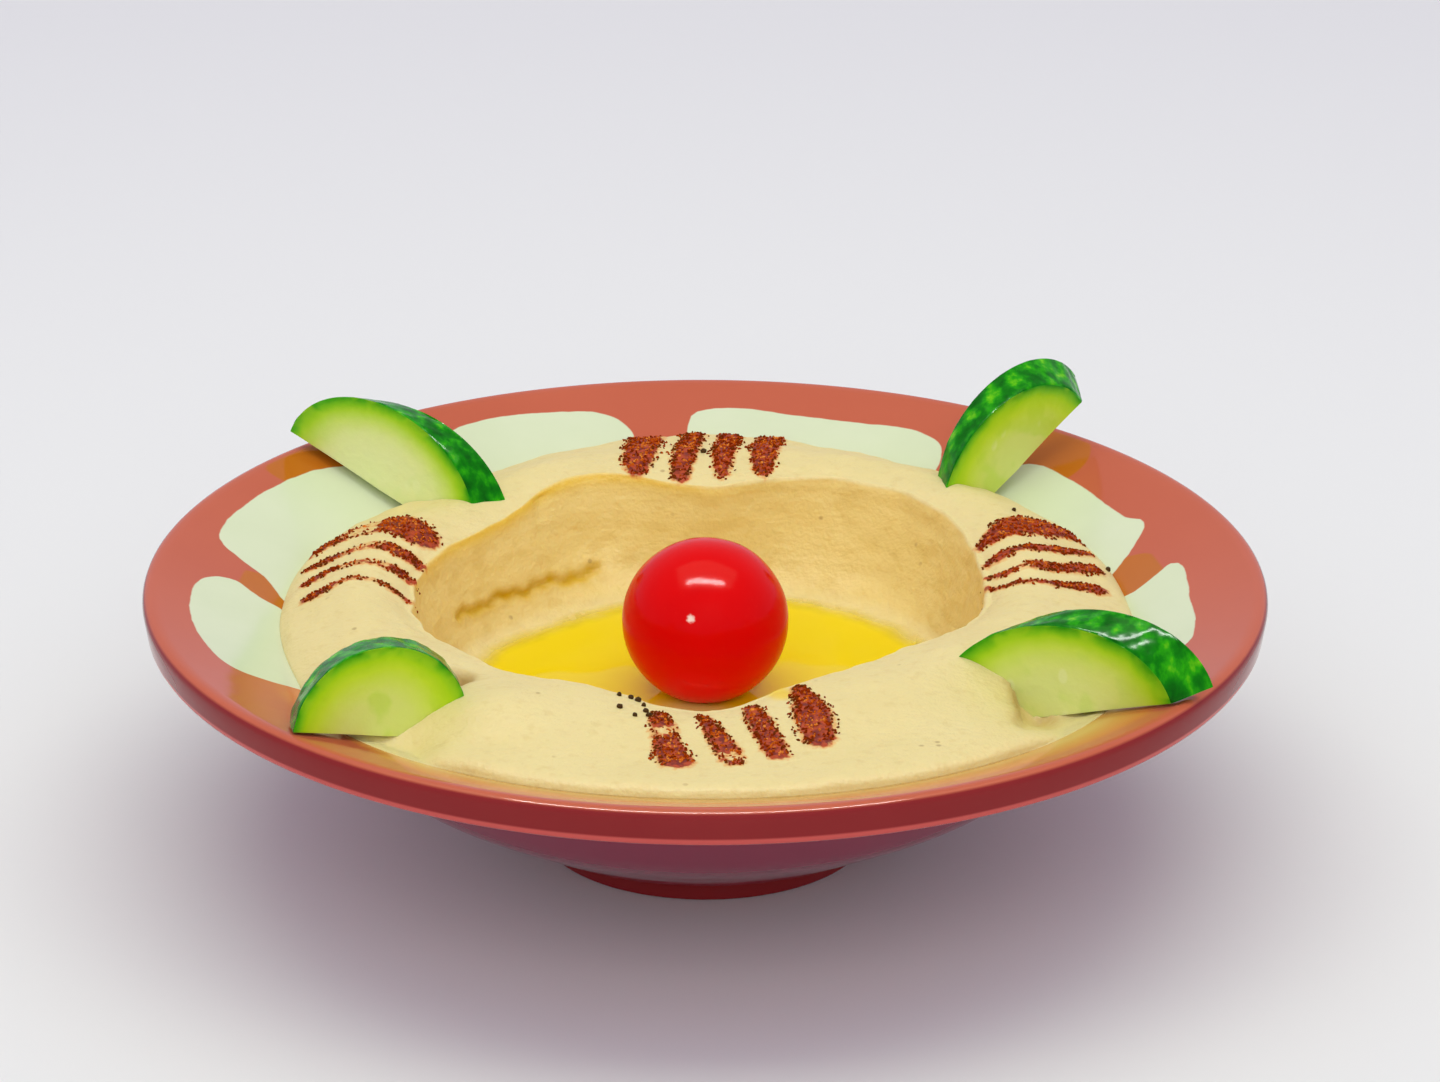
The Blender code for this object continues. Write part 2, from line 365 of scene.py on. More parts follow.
melamine = Finish("glossy_melamine", {"IOR": 1.5, "Specular IOR Level": 0.15})
body_tone = melamine.mixed(melamine.clouds(26, 3), paint(189, 92, 64), paint(197, 100, 72))
# Amber where the glaze mirrors the slices and the hummus: a painted reflection.
reflection_share = melamine.step(melamine.stored("amber_depth"), -0.1, 0.6)
body_tone = melamine.mixed(reflection_share, body_tone, paint(188, 104, 26))
gold = melamine.ramp(melamine.stored("front_gold"), [
    (0, paint(195, 96, 68)), (0.3, paint(208, 120, 60)), (0.65, paint(210, 146, 70)),
    (0.9, paint(214, 170, 92))])
body_tone = melamine.mixed(melamine.step(melamine.stored("front_gold"), 0, 0.3), body_tone, gold)
outer_tone = melamine.mixed(melamine.clouds(18, 3), paint(133, 33, 34), paint(142, 40, 40))
# Painted reflections of the table: the cone under the lip is painted a duller mauve, and the bead
# along the lip's foot paler.
height = melamine.along("Z")
cone_reflection = melamine.step(height, 5, 9) * melamine.step(height, 42.6, 41.4)
outer_tone = melamine.mixed(0.8 * cone_reflection, outer_tone, paint(136, 58, 80))
bead_reflection = melamine.step(height, 43.2, 43.6) * melamine.step(height, 45.2, 44.7)
outer_tone = melamine.mixed(0.8 * bead_reflection, outer_tone, paint(212, 92, 84))
body_tone = melamine.mixed(melamine.stored("outside"), body_tone, outer_tone)
petal_tone = melamine.mixed(melamine.clouds(14, 3), paint(208, 218, 180), paint(218, 225, 193))
petal_edge = melamine.stored("petal_depth") + 0.7 * melamine.clouds(5, 2) - 0.35
petal_share = melamine.step(petal_edge, -0.12, 0.18)
melamine.feed("Base Color", melamine.mixed(petal_share, body_tone, petal_tone))
scuffs = melamine.clouds(3, 4, stretch=(1, 1, 4))
melamine.feed("Roughness", 0.05 + 0.09 * scuffs)
melamine.rough(melamine.clouds(9, 2), 0.05)
bowl.data.materials.append(melamine.material)
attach(bowl, "root")
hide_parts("bowl")


# Hummus: chickpea paste, pushed against the bowl and hollowed in the middle with the back of a
# spoon. Its section is read at sixteen compass points from +X, counter-clockwise: the edge on
# the bowl, the radius and height of the crest and of the well's brink, and the edge of the oil.
HUMMUS_TURNS = 400
SECTION_STEPS = 10
OIL_ROW = 4 * SECTION_STEPS
BRINK_ROW = 8 * SECTION_STEPS
HUMMUS_ROWS = [
    (76.5, 59, 48.2, 50.0, 45.0, 45.5), (77.0, 61, 48.4, 52.6, 45.8, 46.5),
    (78.0, 67, 48.4, 58.8, 46.6, 47.0), (79.5, 68, 48.4, 59.0, 46.8, 46.0),
    (81.5, 65, 48.8, 50.5, 46.4, 44.0), (79.0, 66, 48.6, 58.0, 47.4, 43.0),
    (76.5, 63, 47.4, 52.5, 45.2, 42.5), (77.0, 63, 47.6, 53.0, 44.6, 45.0),
    (76.0, 63, 47.8, 52.0, 43.8, 46.0), (77.0, 62, 48.2, 50.5, 45.8, 45.0),
    (85.0, 62, 49.4, 50.5, 47.4, 43.5), (86.5, 61, 49.8, 50.2, 48.5, 43.0),
    (86.0, 61, 47.6, 50.0, 45.4, 42.0), (86.5, 58, 49.6, 46.0, 47.8, 40.0),
    (85.5, 57, 49.4, 43.5, 47.4, 38.0), (81.0, 58, 49.2, 47.0, 46.6, 42.0),
]
# The paste is uneven at three scales: the size of the swells and their rise.
UNEVEN = [(11, 0.5), (4, 0.2), (1.6, 0.08)]
# Where the slices were pushed in, the paste swelled or sank: place, reach and rise.
SWELLS = [
    ((-35, -58), 5.5, 2.4), ((62, -49), 7.5, -4.2), ((46, -31), 6, 1.2),
    ((-52, -65.5), 5, -4.6), ((57, -45), 3, -1.4),
]
# Beside the front right slice a slab of the paste tore and sank, with a shadow line painted along
# its edge.
# Behind the tip of the front left slice a small hollow stayed open, painted dark brown for the
# shade in it.
TEAR = [
    (53.0, -36.5), (55.6, -36.0), (59.5, -46), (61, -60), (55.8, -61.5), (52.6, -58), (53.6, -49),
]
TEAR_DEPTH = 2.2
TEAR_EDGE = 0.7
TIP_HOLLOW = (-43.2, -43.8)
HOLLOW_DEPTH = 5
# At the front a little oil has run up over the brink.
OIL_RUN = [(12.2, -45.6), (13.4, -49.2)]
OIL_RUN_REACH = 1.7
WELL_FLOOR = 26.5
WELL_TROUGH = (24, 25.4)
# The well's wall: shares of the way from the oil to the brink, and the heights there.
WELL_WALL = [(0.36, 30.8), (0.64, 36)]
OIL_LEVEL = 28
# The gaps between the paste and the bowl, and how far its edge is pressed down into the bowl.
SEAT_GAP = 0.15
UNDER_GAP = 0.1
EDGE_SINK = 0.35
UNDER_RADII = (73, 69.5, 62, 50, 30, 0)
# Marks of the spoon on the well's back left side, as azimuth in degrees and height. On that wall
# a degree is about 0.87 mm long.
SPOON_MARK = [
    (157, 33.4), (147.5, 33.2), (141.7, 33.0), (135.3, 32.8), (128, 32.4), (121.9, 32.0),
    (114, 31.8),
]
UPRIGHT_MARK = [(122.5, 47), (125, 43.5), (125.6, 40.5)]
WALL_DEGREE = 0.87
SPOON_MARK_DEPTH = 0.8
UPRIGHT_MARK_DEPTH = 0.3
# A depth that stands for no stripe, and how far the paste stands up under one.
NO_STRIPE = -9.0
STRIPE_HEAP = 0.3
# Ground spice lies in four groups of stripes, here at the back, front, left and right. Each row
# holds a stripe's middle line as seen from above, with its width at each place, and the part of
# its length whose middle is nearly bare.
STRIPES = [
    ([(-11.3, 77, 7.0), (-12.0, 66, 6.8), (-12.8, 59.5, 5.6), (-12.9, 55.8, 3.6)], (0, 0)),
    ([(-2.2, 78, 4.2), (-3.6, 66, 4.6), (-4.5, 58, 4.2), (-4.7, 53.6, 3.0)], (0, 0)),
    ([(4.8, 78, 4.8), (3.6, 66, 4.4), (3.2, 57, 3.2), (3.0, 53.8, 1.8)], (0, 0)),
    ([(12.6, 77, 5.6), (11.2, 66, 5.6), (10.8, 59.5, 4.6), (10.7, 55.4, 2.4)], (0, 0)),
    ([(-7.6, -56, 2.8), (-7.2, -61, 4.2), (-6.2, -68, 5.2), (-4.9, -74, 6.4)], (0.35, 0.55)),
    ([(-0.4, -55.5, 1.8), (0.8, -60, 3.0), (2.3, -65, 3.6), (4.0, -70.5, 4.8),
      (5.0, -74.5, 2.8)], (0.7, 0.9)),
    ([(7.6, -52.5, 2.2), (8.8, -58.5, 4.0), (10.5, -65, 4.4), (12.2, -71.5, 4.2)], (0, 0)),
    ([(15.8, -46, 1.6), (17.2, -53, 4.6), (18.3, -60, 6.6), (19.3, -67, 5.2)], (0, 0)),
    ([(-71.5, 23.4, 1.8), (-67, 28.0, 4.0), (-63, 31.0, 7.4), (-57.5, 30.2, 9.2),
      (-53.0, 26.0, 8.4), (-51.4, 23.8, 5.0)], (0.22, 0.52)),
    ([(-72, 15.2, 1.8), (-67, 18.6, 2.2), (-61.5, 19.4, 2.6), (-55.8, 17.4, 3.6),
      (-51.6, 15.7, 2.2)], (0.28, 0.62)),
    ([(-72.2, 8.2, 2.0), (-67.5, 11, 2.6), (-62.3, 11.4, 2.6), (-57.2, 10.8, 2.8),
      (-52.7, 9.8, 1.8)], (0.32, 0.72)),
    ([(-71, 0.4, 3.2), (-67, 1.8, 2.2), (-62.4, 3.2, 1.6), (-57.6, 2.6, 1.4),
      (-52.9, 1.0, 1.2)], (0.25, 0.68)),
    ([(50.2, 21.5, 2.0), (54.5, 25.8, 6.2), (58.8, 30, 8.2), (64, 33, 7.0), (67.4, 32.6, 3.4),
      (70.4, 31.2, 1.2)], (0, 0)),
    ([(50.8, 13.6, 1.4), (54.6, 15.2, 3.4), (57.2, 16.4, 2.0), (61.0, 18.4, 3.4),
      (66, 21.2, 3.8), (70, 23.4, 2.0)], (0, 0)),
    ([(50.9, 8.6, 1.2), (53.8, 7.4, 1.8), (57, 8.6, 1.1), (59.5, 9.6, 3.4), (64, 11.2, 3.2),
      (70.5, 15.2, 4.0)], (0.4, 0.55)),
    ([(50.7, 4.4, 1.2), (53.4, 1.6, 1.0), (56, 1.8, 1.4), (60, 2.5, 1.3), (64.5, 3.4, 3.0),
      (70.3, 5.2, 5.0)], (0, 0)),
]


def hummus_row(angle):
    """The row of HUMMUS_ROWS at any angle, flowing from one compass point to the next."""
    count = len(HUMMUS_ROWS)
    place = angle / math.tau * count
    i = math.floor(place)
    rows = [np.array(HUMMUS_ROWS[(i + k) % count]) for k in (-1, 0, 1, 2)]
    return between(*rows, place - i)


def hummus_section(angle):
    """The upper side from the middle of the well out to the bowl, then the underside."""
    outer, crest, crest_z, brink, brink_z, oil = hummus_row(angle)
    brink += 0.7 * noise.noise(Vector((9 * math.cos(angle), 9 * math.sin(angle), 1)))
    seat = float(bowl_floor(outer)) + SEAT_GAP
    side = outer - crest
    wall = brink - oil
    top = flowing([
        (0, WELL_FLOOR), (9, WELL_FLOOR - 0.1), WELL_TROUGH, (oil - 8, 26.2),
        (oil, OIL_LEVEL - 0.2), *((oil + share * wall, z) for share, z in WELL_WALL),
        (oil + 0.87 * wall, brink_z - 4), (brink, brink_z), (brink + 1.3, brink_z + 0.6),
        (0.55 * brink + 0.45 * crest, 0.4 * brink_z + 0.6 * crest_z + 0.3), (crest, crest_z),
        (crest + 0.5 * side, 0.62 * crest_z + 0.38 * seat), (outer - 2.2, seat + 1.7),
        (outer, seat),
    ], SECTION_STEPS)
    for (x, y), reach, rise in SWELLS:
        away = np.hypot(top[:, 0] * math.cos(angle) - x, top[:, 0] * math.sin(angle) - y)
        top[:, 1] += rise * bell(away, reach)
    top[:, 1] = np.maximum(top[:, 1], bowl_floor(top[:, 0]) + UNDER_GAP)
    top[-1, 1] = seat - EDGE_SINK
    under = [(radius, float(bowl_floor(radius)) + UNDER_GAP)
             for radius in (outer - 1, 0.5 * (outer + 75.5), *UNDER_RADII)]
    return np.vstack([top, under])


def nearest(points, line):
    """Distance of each point from a line."""
    starts = line[:-1]
    spans = line[1:] - starts
    away = points[:, None] - starts[None]
    share = np.clip((away * spans).sum(2) / (spans ** 2).sum(1), 0, 1)
    return np.linalg.norm(away - share[..., None] * spans, axis=2).min(1)


hummus_sections = [hummus_section(math.tau * i / HUMMUS_TURNS) for i in range(HUMMUS_TURNS)]
hummus_points = turned_points(hummus_sections)
section_length = len(hummus_sections[0])
top_count = section_length - 2 - len(UNDER_RADII)
row_place = section_places(HUMMUS_TURNS, section_length)
upper = gain(top_count - row_place, 4, 10)
hummus_faces = turned_faces(HUMMUS_TURNS, section_length - 2)
smooth_hummus = BVHTree.FromPolygons([Vector(p) for p in hummus_points], hummus_faces)


def on_surface(surface, x, y):
    """The point on the upper side at a place seen from above, or just inside its edge."""
    inward = min(1, (hummus_row(math.atan2(y, x))[0] - 1) / math.hypot(x, y))
    return surface.ray_cast(Vector((x * inward, y * inward, 90)), Vector((0, 0, -1)))[0]


def stripe_cover(surface, row, points):
    """How deep each point lies inside a stripe, and whether the stripe is nearly bare there."""
    line, (bare_from, bare_to) = row
    curve = flowing(line, 6)
    laid = np.array([on_surface(surface, x, y) for x, y, width in curve])
    half = 0.23 * (curve[1:, 2] + curve[:-1, 2])
    depths = np.array([half[k] - nearest(points, laid[k:k + 2]) for k in range(len(half))])
    part = depths.argmax(0) / len(half)
    return depths.max(0), (bare_from < part) & (part < bare_to)


from_above = hummus_points[:, :2]
stripe_depth = np.full(len(hummus_points), NO_STRIPE)
for row in STRIPES:
    depth, bare = stripe_cover(smooth_hummus, row, hummus_points)
    # Where its middle is nearly bare, a stripe stains the paste only along its two edges.
    rim_depth = np.maximum(np.minimum(depth - 0.4, 0.8 - depth), -0.4)
    depth = np.where(bare & (depth > 0), rim_depth, depth)
    stripe_depth = np.maximum(stripe_depth, depth)
heap = gain(stripe_depth, -0.5, 0.5)

azimuth = np.degrees(np.arctan2(hummus_points[:, 1], hummus_points[:, 0]))
wall_place = np.column_stack([azimuth * WALL_DEGREE, hummus_points[:, 2]])
on_wall = (row_place > OIL_ROW) & (row_place < BRINK_ROW)
wavy = [(WALL_DEGREE * a, z + 0.4 * math.sin(a / 2.2) + 0.25 * math.sin(a / 0.9))
        for a, z in flowing(SPOON_MARK, 8)]
from_mark = nearest(wall_place, np.array(wavy))
mark = on_wall * bell(from_mark, 0.42)
mark_tone = on_wall * bell(from_mark, 0.85)
upright_line = flowing(UPRIGHT_MARK, 4) * (WALL_DEGREE, 1)
upright = on_wall * bell(nearest(wall_place, upright_line), 0.8)
from_hollow = np.linalg.norm(from_above - TIP_HOLLOW, axis=1)
# Painted shade: the colour of the hollow behind the front left slice's tip is darkened.
hollow_shade = (row_place > BRINK_ROW) * bell(from_hollow, 3.4, 4)
hollow = (row_place > BRINK_ROW) * bell(from_hollow, 2.5, 4)
well_side = gain(row_place, OIL_ROW - 3, OIL_ROW + 6) * gain(BRINK_ROW + 1 - row_place, 0, 2)
# A deeper gold band is painted along the back left brink of the well.
oily_brink = bell(row_place - BRINK_ROW, 3.0) * bell(azimuth - 128, 34, 4)
tear_depth = inside_by(np.array(TEAR), from_above)
tear_fade = gain(top_count - row_place, 13, 19)
torn = gain(tear_depth, 0, TEAR_EDGE) * tear_fade
tear_edge = bell(tear_depth, TEAR_EDGE) * tear_fade
from_run = nearest(from_above, np.array(OIL_RUN))
oil_run = bell(from_run, OIL_RUN_REACH, 4) * (row_place > OIL_ROW)
hummus = new_piece("hummus_paste", hummus_points, hummus_faces, {
    "stripe_depth": stripe_depth, "spoon_mark": mark_tone, "hollow": hollow_shade,
    "well_side": well_side, "oily_brink": oily_brink, "torn": torn, "tear_edge": tear_edge,
    "oil_run": oil_run})

lift = np.zeros(len(hummus_points))
for i, (x, y, z) in enumerate(hummus_points):
    if upper[i] > 0:
        spot = Vector((x, y, z))
        turn = math.atan2(y, x)
        lift[i] = sum(rise * noise.noise(spot / size) for size, rise in UNEVEN)
        lift[i] += 0.1 * well_side[i] * noise.noise(Vector((turn * 4, z / 2.2, 3)))
        lift[i] += 0.7 * torn[i] * noise.noise(spot / 2.2)
lift += STRIPE_HEAP * heap - TEAR_DEPTH * torn - HOLLOW_DEPTH * hollow
lift = lift * upper - SPOON_MARK_DEPTH * mark - UPRIGHT_MARK_DEPTH * upright
normals = np.zeros(len(hummus_points) * 3)
hummus.data.vertices.foreach_get("normal", normals)
moved = hummus_points + normals.reshape(-1, 3) * lift[:, None]
hummus.data.vertices.foreach_set("co", (moved * MM).ravel())
hummus.data.update()

paste = Finish("hummus_paste", {
    "Subsurface Weight": 0.15, "Subsurface Radius": (1.0, 0.6, 0.25), "Subsurface Scale": 0.0015,
    "IOR": 1.42, "Specular IOR Level": 0.2})
cream = paste.mixed(paste.clouds(16, 3), paint(226, 206, 140), paint(232, 214, 153))
flecks = paste.step(paste.clouds(2.2, 4), 0.52, 0.75)
cream = paste.mixed(0.35 * flecks, cream, paint(214, 188, 122))
# The well's sides are painted a deeper gold: partly oil on the paste, partly painted light bounced
# from the pool.
wall_tone = paste.mixed(paste.clouds(7, 4), paint(229, 199, 112), paint(236, 210, 130))
smudges = paste.step(paste.clouds(5, 5, stretch=(1, 1, 1.6)), 0.5, 0.68)
wall_tone = paste.mixed(0.4 * smudges, wall_tone, paint(214, 178, 84))
cream = paste.mixed(0.85 * paste.stored("well_side"), cream, wall_tone)
cream = paste.mixed(0.95 * paste.stored("oily_brink"), cream, paint(228, 188, 62))
cream = paste.mixed(0.5 * paste.stored("torn"), cream, paint(216, 190, 112))
# A painted shadow line along the edge of the tear.
cream = paste.mixed(0.6 * paste.stored("tear_edge"), cream, paint(190, 150, 78))
cream = paste.mixed(0.85 * paste.stored("oil_run"), cream, paint(238, 202, 50))
# The spoon's groove is painted darker gold: partly a smear of the paste, partly painted shade in
# the groove.
groove_smear_and_shade = paste.stored("spoon_mark") * (0.45 + 0.9 * paste.clouds(3, 4))
cream = paste.mixed(groove_smear_and_shade, cream, paint(208, 164, 8))
# The hollow is painted dark brown for the shade in it.
cream = paste.mixed(0.8 * paste.stored("hollow"), cream, paint(166, 116, 34))
bran = paste.step(paste.cells(4.6), 0.14, 0.05) * paste.step(paste.clouds(9, 1), 0.56, 0.66)
cream = paste.mixed(0.5 * bran, cream, paint(150, 110, 60))
ragged = paste.stored("stripe_depth") + 2.4 * paste.clouds(1.3, 4) - 1.2
halo = paste.mixed(0.8 * paste.step(ragged, -0.9, 0.1), cream, paint(226, 156, 74))
patches = paste.step(paste.clouds(1.3, 3), 0.38, 0.62)
bed_tone = paste.mixed(patches, paint(114, 16, 6), paint(178, 62, 14))
paste.feed("Base Color", paste.mixed(0.98 * paste.step(ragged, -0.25, 0.3), halo, bed_tone))
paste.feed("Roughness", 0.42 + 0.2 * paste.clouds(5, 3))
strokes = paste.clouds(2.4, 2, stretch=(0.25, 0.25, 1.4))
grit = paste.clouds(0.9, 4) + 0.8 * paste.clouds(3.5, 3) + 0.7 * strokes
paste.rough(grit, 0.22)
hummus.data.materials.append(paste.material)
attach(hummus, "root")
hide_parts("hummus")


# Olive oil: a shallow pool in the well, thinning to nothing at its edge. It clings a little to
# the tomato.
OIL_TURNS = 240
OIL_RINGS = (0, 4, 5.5, 6.5, 8, 11, 16, 21, 25)
SHORE_RINGS = (12, 10, 8, 6.5, 5, 4, 3, 2, 1.2, 0.6, 0)
OIL_PAST_SHORE = 1.2
LEAST_OIL = 0.15
# Depth and distance from the shore that count for the pool's middle, under the tomato.
MIDDLE_DEPTH = 1.5
MIDDLE_FROM_EDGE = 40
# How high, how far and at which radius the oil climbs the tomato.
CLING_RISE = 0.3
CLING_REACH = 0.8
CLING_RADIUS = 5.7
LIT_OIL_PLACE = (-3, -14, OIL_LEVEL)
TOMATO_PLACE = (0, -1.2, 41.8)
TOMATO_RADIUS = 14.9


def hummus_height(section, radius):
    """Height of the hummus at a distance from the axis, on one of its sections."""
    top = section[:top_count]
    return float(np.interp(radius, top[:, 0], top[:, 1]))


oil_rows = []
oil_depth = []
from_edge = []
for i in range(OIL_TURNS):
    angle = math.tau * i / OIL_TURNS
    section = hummus_section(angle)
    edge = hummus_row(angle)[5] + OIL_PAST_SHORE
    reach = [*OIL_RINGS, *(edge - ring for ring in SHORE_RINGS)]
    floor = [hummus_height(section, r) for r in reach]
    top = [(r, OIL_LEVEL) for r in reach]
    under = [(r, min(z, OIL_LEVEL - LEAST_OIL)) for r, z in zip(reach, floor)]
    oil_rows.append([*top, *reversed(under)])
    depth = [max(OIL_LEVEL - z, 0) for z in floor]
    oil_depth.append([*depth[1:], *reversed(depth[1:])])
    shore = [edge - r for r in reach[1:]]
    from_edge.append([*shore, *reversed(shore)])
oil_points = turned_points(oil_rows)
for point in oil_points:
    if point[2] >= OIL_LEVEL:
        away = math.dist(point[:2], TOMATO_PLACE[:2]) - CLING_RADIUS
        point[2] += CLING_RISE * math.exp(-abs(away) / CLING_REACH)
oil = new_piece("oil_pool", oil_points, turned_faces(OIL_TURNS, len(oil_rows[0]) - 2), {
    "oil_depth": [MIDDLE_DEPTH, MIDDLE_DEPTH, *np.ravel(oil_depth)],
    "from_edge": [MIDDLE_FROM_EDGE, MIDDLE_FROM_EDGE, *np.ravel(from_edge)]}, sharp=60)

oil_finish = Finish("olive_oil", {"Roughness": 0.04, "IOR": 1.42, "Specular IOR Level": 0.15})
deep = oil_finish.step(oil_finish.stored("oil_depth"), 0.1, 2.0)
oil_tone = oil_finish.mixed(oil_finish.clouds(12, 2), paint(239, 208, 0), paint(242, 214, 0))
oil_tone = oil_finish.mixed(deep, paint(240, 216, 30), oil_tone)
# Painted light: in front of the tomato, where its shadow falls, the oil is painted paler.
from_lit_spot = oil_finish.node("VectorMath", {"operation": "DISTANCE"},
                            {0: oil_finish.mm, 1: LIT_OIL_PLACE}, "Value")
painted_light_share = oil_finish.step(from_lit_spot + 4 * oil_finish.clouds(4, 2), 13, 7)
oil_finish.feed("Base Color", oil_finish.mixed(0.75 * painted_light_share, oil_tone, paint(255, 242, 150)))
shore_line = oil_finish.stored("from_edge") + 3 * oil_finish.clouds(6, 3) - 1.5
oil_finish.feed("Alpha", 0.98 * oil_finish.step(shore_line, 0.7, 8.2))
oil_finish.rough(oil_finish.clouds(14, 1), 0.15)
oil.data.materials.append(oil_finish.material)
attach(oil, "root")
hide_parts("olive_oil")


# Cherry tomato: whole and ripe, set stalk side down in the middle of the pool. Its blossom end
# shows as a small pale star, partly its scar and partly a painted glint.
TOMATO_TURNS = 128
TOMATO_RINGS = 80
SKIN_UNEVEN = 0.006
STALK_DENT = 0.03
BLOSSOM_DENT = 0.012
BLOSSOM_END = Vector((-0.17, -0.90, 0.40)).normalized()

rings = [math.pi * k / TOMATO_RINGS for k in range(TOMATO_RINGS + 1)]
tomato_points = turned_points([[(math.sin(turn), math.cos(turn)) for turn in rings]] * TOMATO_TURNS)
for point in tomato_points:
    way = Vector(point).normalized()
    swell = 1 + SKIN_UNEVEN * noise.noise(way * 2.2)
    swell -= STALK_DENT * math.exp(-((1 + way.z) / 0.03))
    swell -= BLOSSOM_DENT * math.exp(-((1 - way.dot(BLOSSOM_END)) / 0.0012))
    point *= TOMATO_RADIUS * swell
blossom = [(1 - Vector(p).normalized().dot(BLOSSOM_END)) * 1000 for p in tomato_points]
tomato_points += np.array(TOMATO_PLACE)
tomato = new_piece("cherry_tomato", tomato_points, turned_faces(TOMATO_TURNS, TOMATO_RINGS - 1),
                   {"from_blossom": blossom})

tomato_finish = Finish("tomato_skin", {
    "IOR": 1.4, "Specular IOR Level": 0.12, "Subsurface Weight": 0.05,
    "Subsurface Radius": (1.0, 0.1, 0.05), "Subsurface Scale": 0.0015})
ripe = tomato_finish.mixed(tomato_finish.clouds(10, 3), paint(216, 0, 2), paint(226, 2, 2))
freckle = tomato_finish.step(tomato_finish.cells(1.5), 0.2, 0.1)
ripe = tomato_finish.mixed(0.06 * freckle, ripe, paint(240, 60, 30))
# The pale star is partly the blossom scar and partly a painted glint.
scar_and_glint_edge = tomato_finish.stored("from_blossom") + 3 * tomato_finish.clouds(0.8, 2)
scar_and_glint = tomato_finish.step(scar_and_glint_edge, 3.6, 1.8)
tomato_finish.feed("Base Color", tomato_finish.mixed(scar_and_glint, ripe, paint(255, 226, 214)))
tomato_finish.feed("Roughness", 0.09 + 0.08 * tomato_finish.clouds(6, 2))
tomato_finish.rough(tomato_finish.clouds(2.6, 3), 0.03)
tomato.data.materials.append(tomato_finish.material)
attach(tomato, "root")
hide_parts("tomato")


# Cucumber: four half slices, cut at a slant from an unpeeled cucumber and pushed into the hummus
# with the rind up. Each row holds the middle of the cut edge, the yaw, lean and roll of the face,
# the cucumber's radius, the slant of the cut, the slice's thickness and how pale its flesh is.
CUCUMBERS = {
    "cucumber_back_left": ((-61.0, 51.5, 45.6), (-30.5, 3.7, -20.5), 16.6, 41.0, 5.6, 0.4),
    "cucumber_back_right": ((58.4, 57.0, 47.6), (38.4, -2.9, 33.5), 15.4, 35.6, 6.1, 0.0),
    "cucumber_front_left": ((-54.5, -61.6, 46.2), (30.4, 5.0, -14.5), 15.7, 22.2, 7.0, 0.0),
    "cucumber_front_right": ((59.8, -45.3, 42.9), (-29.3, -3.4, 18.5), 17.0, 43.5, 5.8, 0.18),
}
ARC_STEPS = 96
EDGE_ROUNDING = 0.35
FACE_CROWN = 0.25
FACE_RINGS = (0.12, 0.25, 0.38, 0.5, 0.6, 0.7, 0.78, 0.85, 0.9, 0.94, 0.97)
CORNER_TURNS = (0.0, 0.4, 0.8, 1.2, 1.5)
SIDE_SHARES = (0.15, 0.25, 0.35, 0.45, 0.55, 0.65, 0.75, 0.85)
RIND_FROM = 0.985


def slice_frame(place, turn):
    """Axes of a half slice: along its cut edge, up to its rind, and out of its face."""
    yaw, lean, roll = (math.radians(value) for value in turn)
    level = Vector((math.cos(yaw), math.sin(yaw), 0))
    face = Vector((math.cos(lean) * math.sin(yaw), -math.cos(lean) * math.cos(yaw), math.sin(lean)))
    rise = face.cross(level)
    along = level * math.cos(roll) + rise * math.sin(roll)
    up = rise * math.cos(roll) - level * math.sin(roll)
    return Vector(place), along, up, face


def slice_profile(radius, thickness):
    """From the middle of the shown face, over the rind, to the middle of the far face."""
    r = EDGE_ROUNDING
    front = [(ring, FACE_CROWN * (1 - (2 * ring - 1) ** 2)) for ring in FACE_RINGS]
    corner = [(1 - (r - r * math.sin(t)) / radius, r - r * math.cos(t)) for t in CORNER_TURNS]
    side = [(1, thickness * share) for share in SIDE_SHARES]
    back = [(ring, thickness - depth) for ring, depth in reversed(corner)]
    far = [(ring, thickness - depth) for ring, depth in reversed(front)]
    return [(0, 0), *front, *corner, *side, *back, *far, (0, thickness)]


def half_slice(name, row):
    """One half slice. Its radius is measured to the tops of the low knobs of the rind."""
    place, turn, radius, slant, thickness, pale = row
    middle, along, up, face = slice_frame(place, turn)
    tilt = math.tan(math.radians(slant))
    half = radius / math.cos(math.radians(slant))
    profile = slice_profile(radius, thickness)
    count = len(profile)
    points = []
    from_middle = []
    for k in range(ARC_STEPS + 1):
        turned_by = math.pi * k / ARC_STEPS
        across, over = math.cos(turned_by), math.sin(turned_by)
        for share, depth in profile:
            knob = 0
            if share > 0.99:
                knob = 0.22 * noise.noise(Vector((turned_by * 5.5, depth / 3.2, radius)))
                knob += 0.12 * noise.noise(Vector((turned_by * 13, depth / 1.8, radius))) - 0.12
            size = share * (1 + knob / radius)
            shift = -face * depth + along * depth * tilt
            points.append(middle + shift + along * half * size * across + up * radius * size * over)
            from_middle.append(share)
    faces = []
    for k in range(ARC_STEPS):
        for n in range(count - 1):
            first = k * count + n
            faces.append((first, first + 1, first + 1 + count, first + count))
    last = ARC_STEPS * count
    faces.append((*range(count), *range(last + count - 2, last, -1)))
    values = {"from_middle": from_middle, "pale": [pale] * len(points)}
    return new_piece(name, points, faces, values, sharp=50, weld=True)


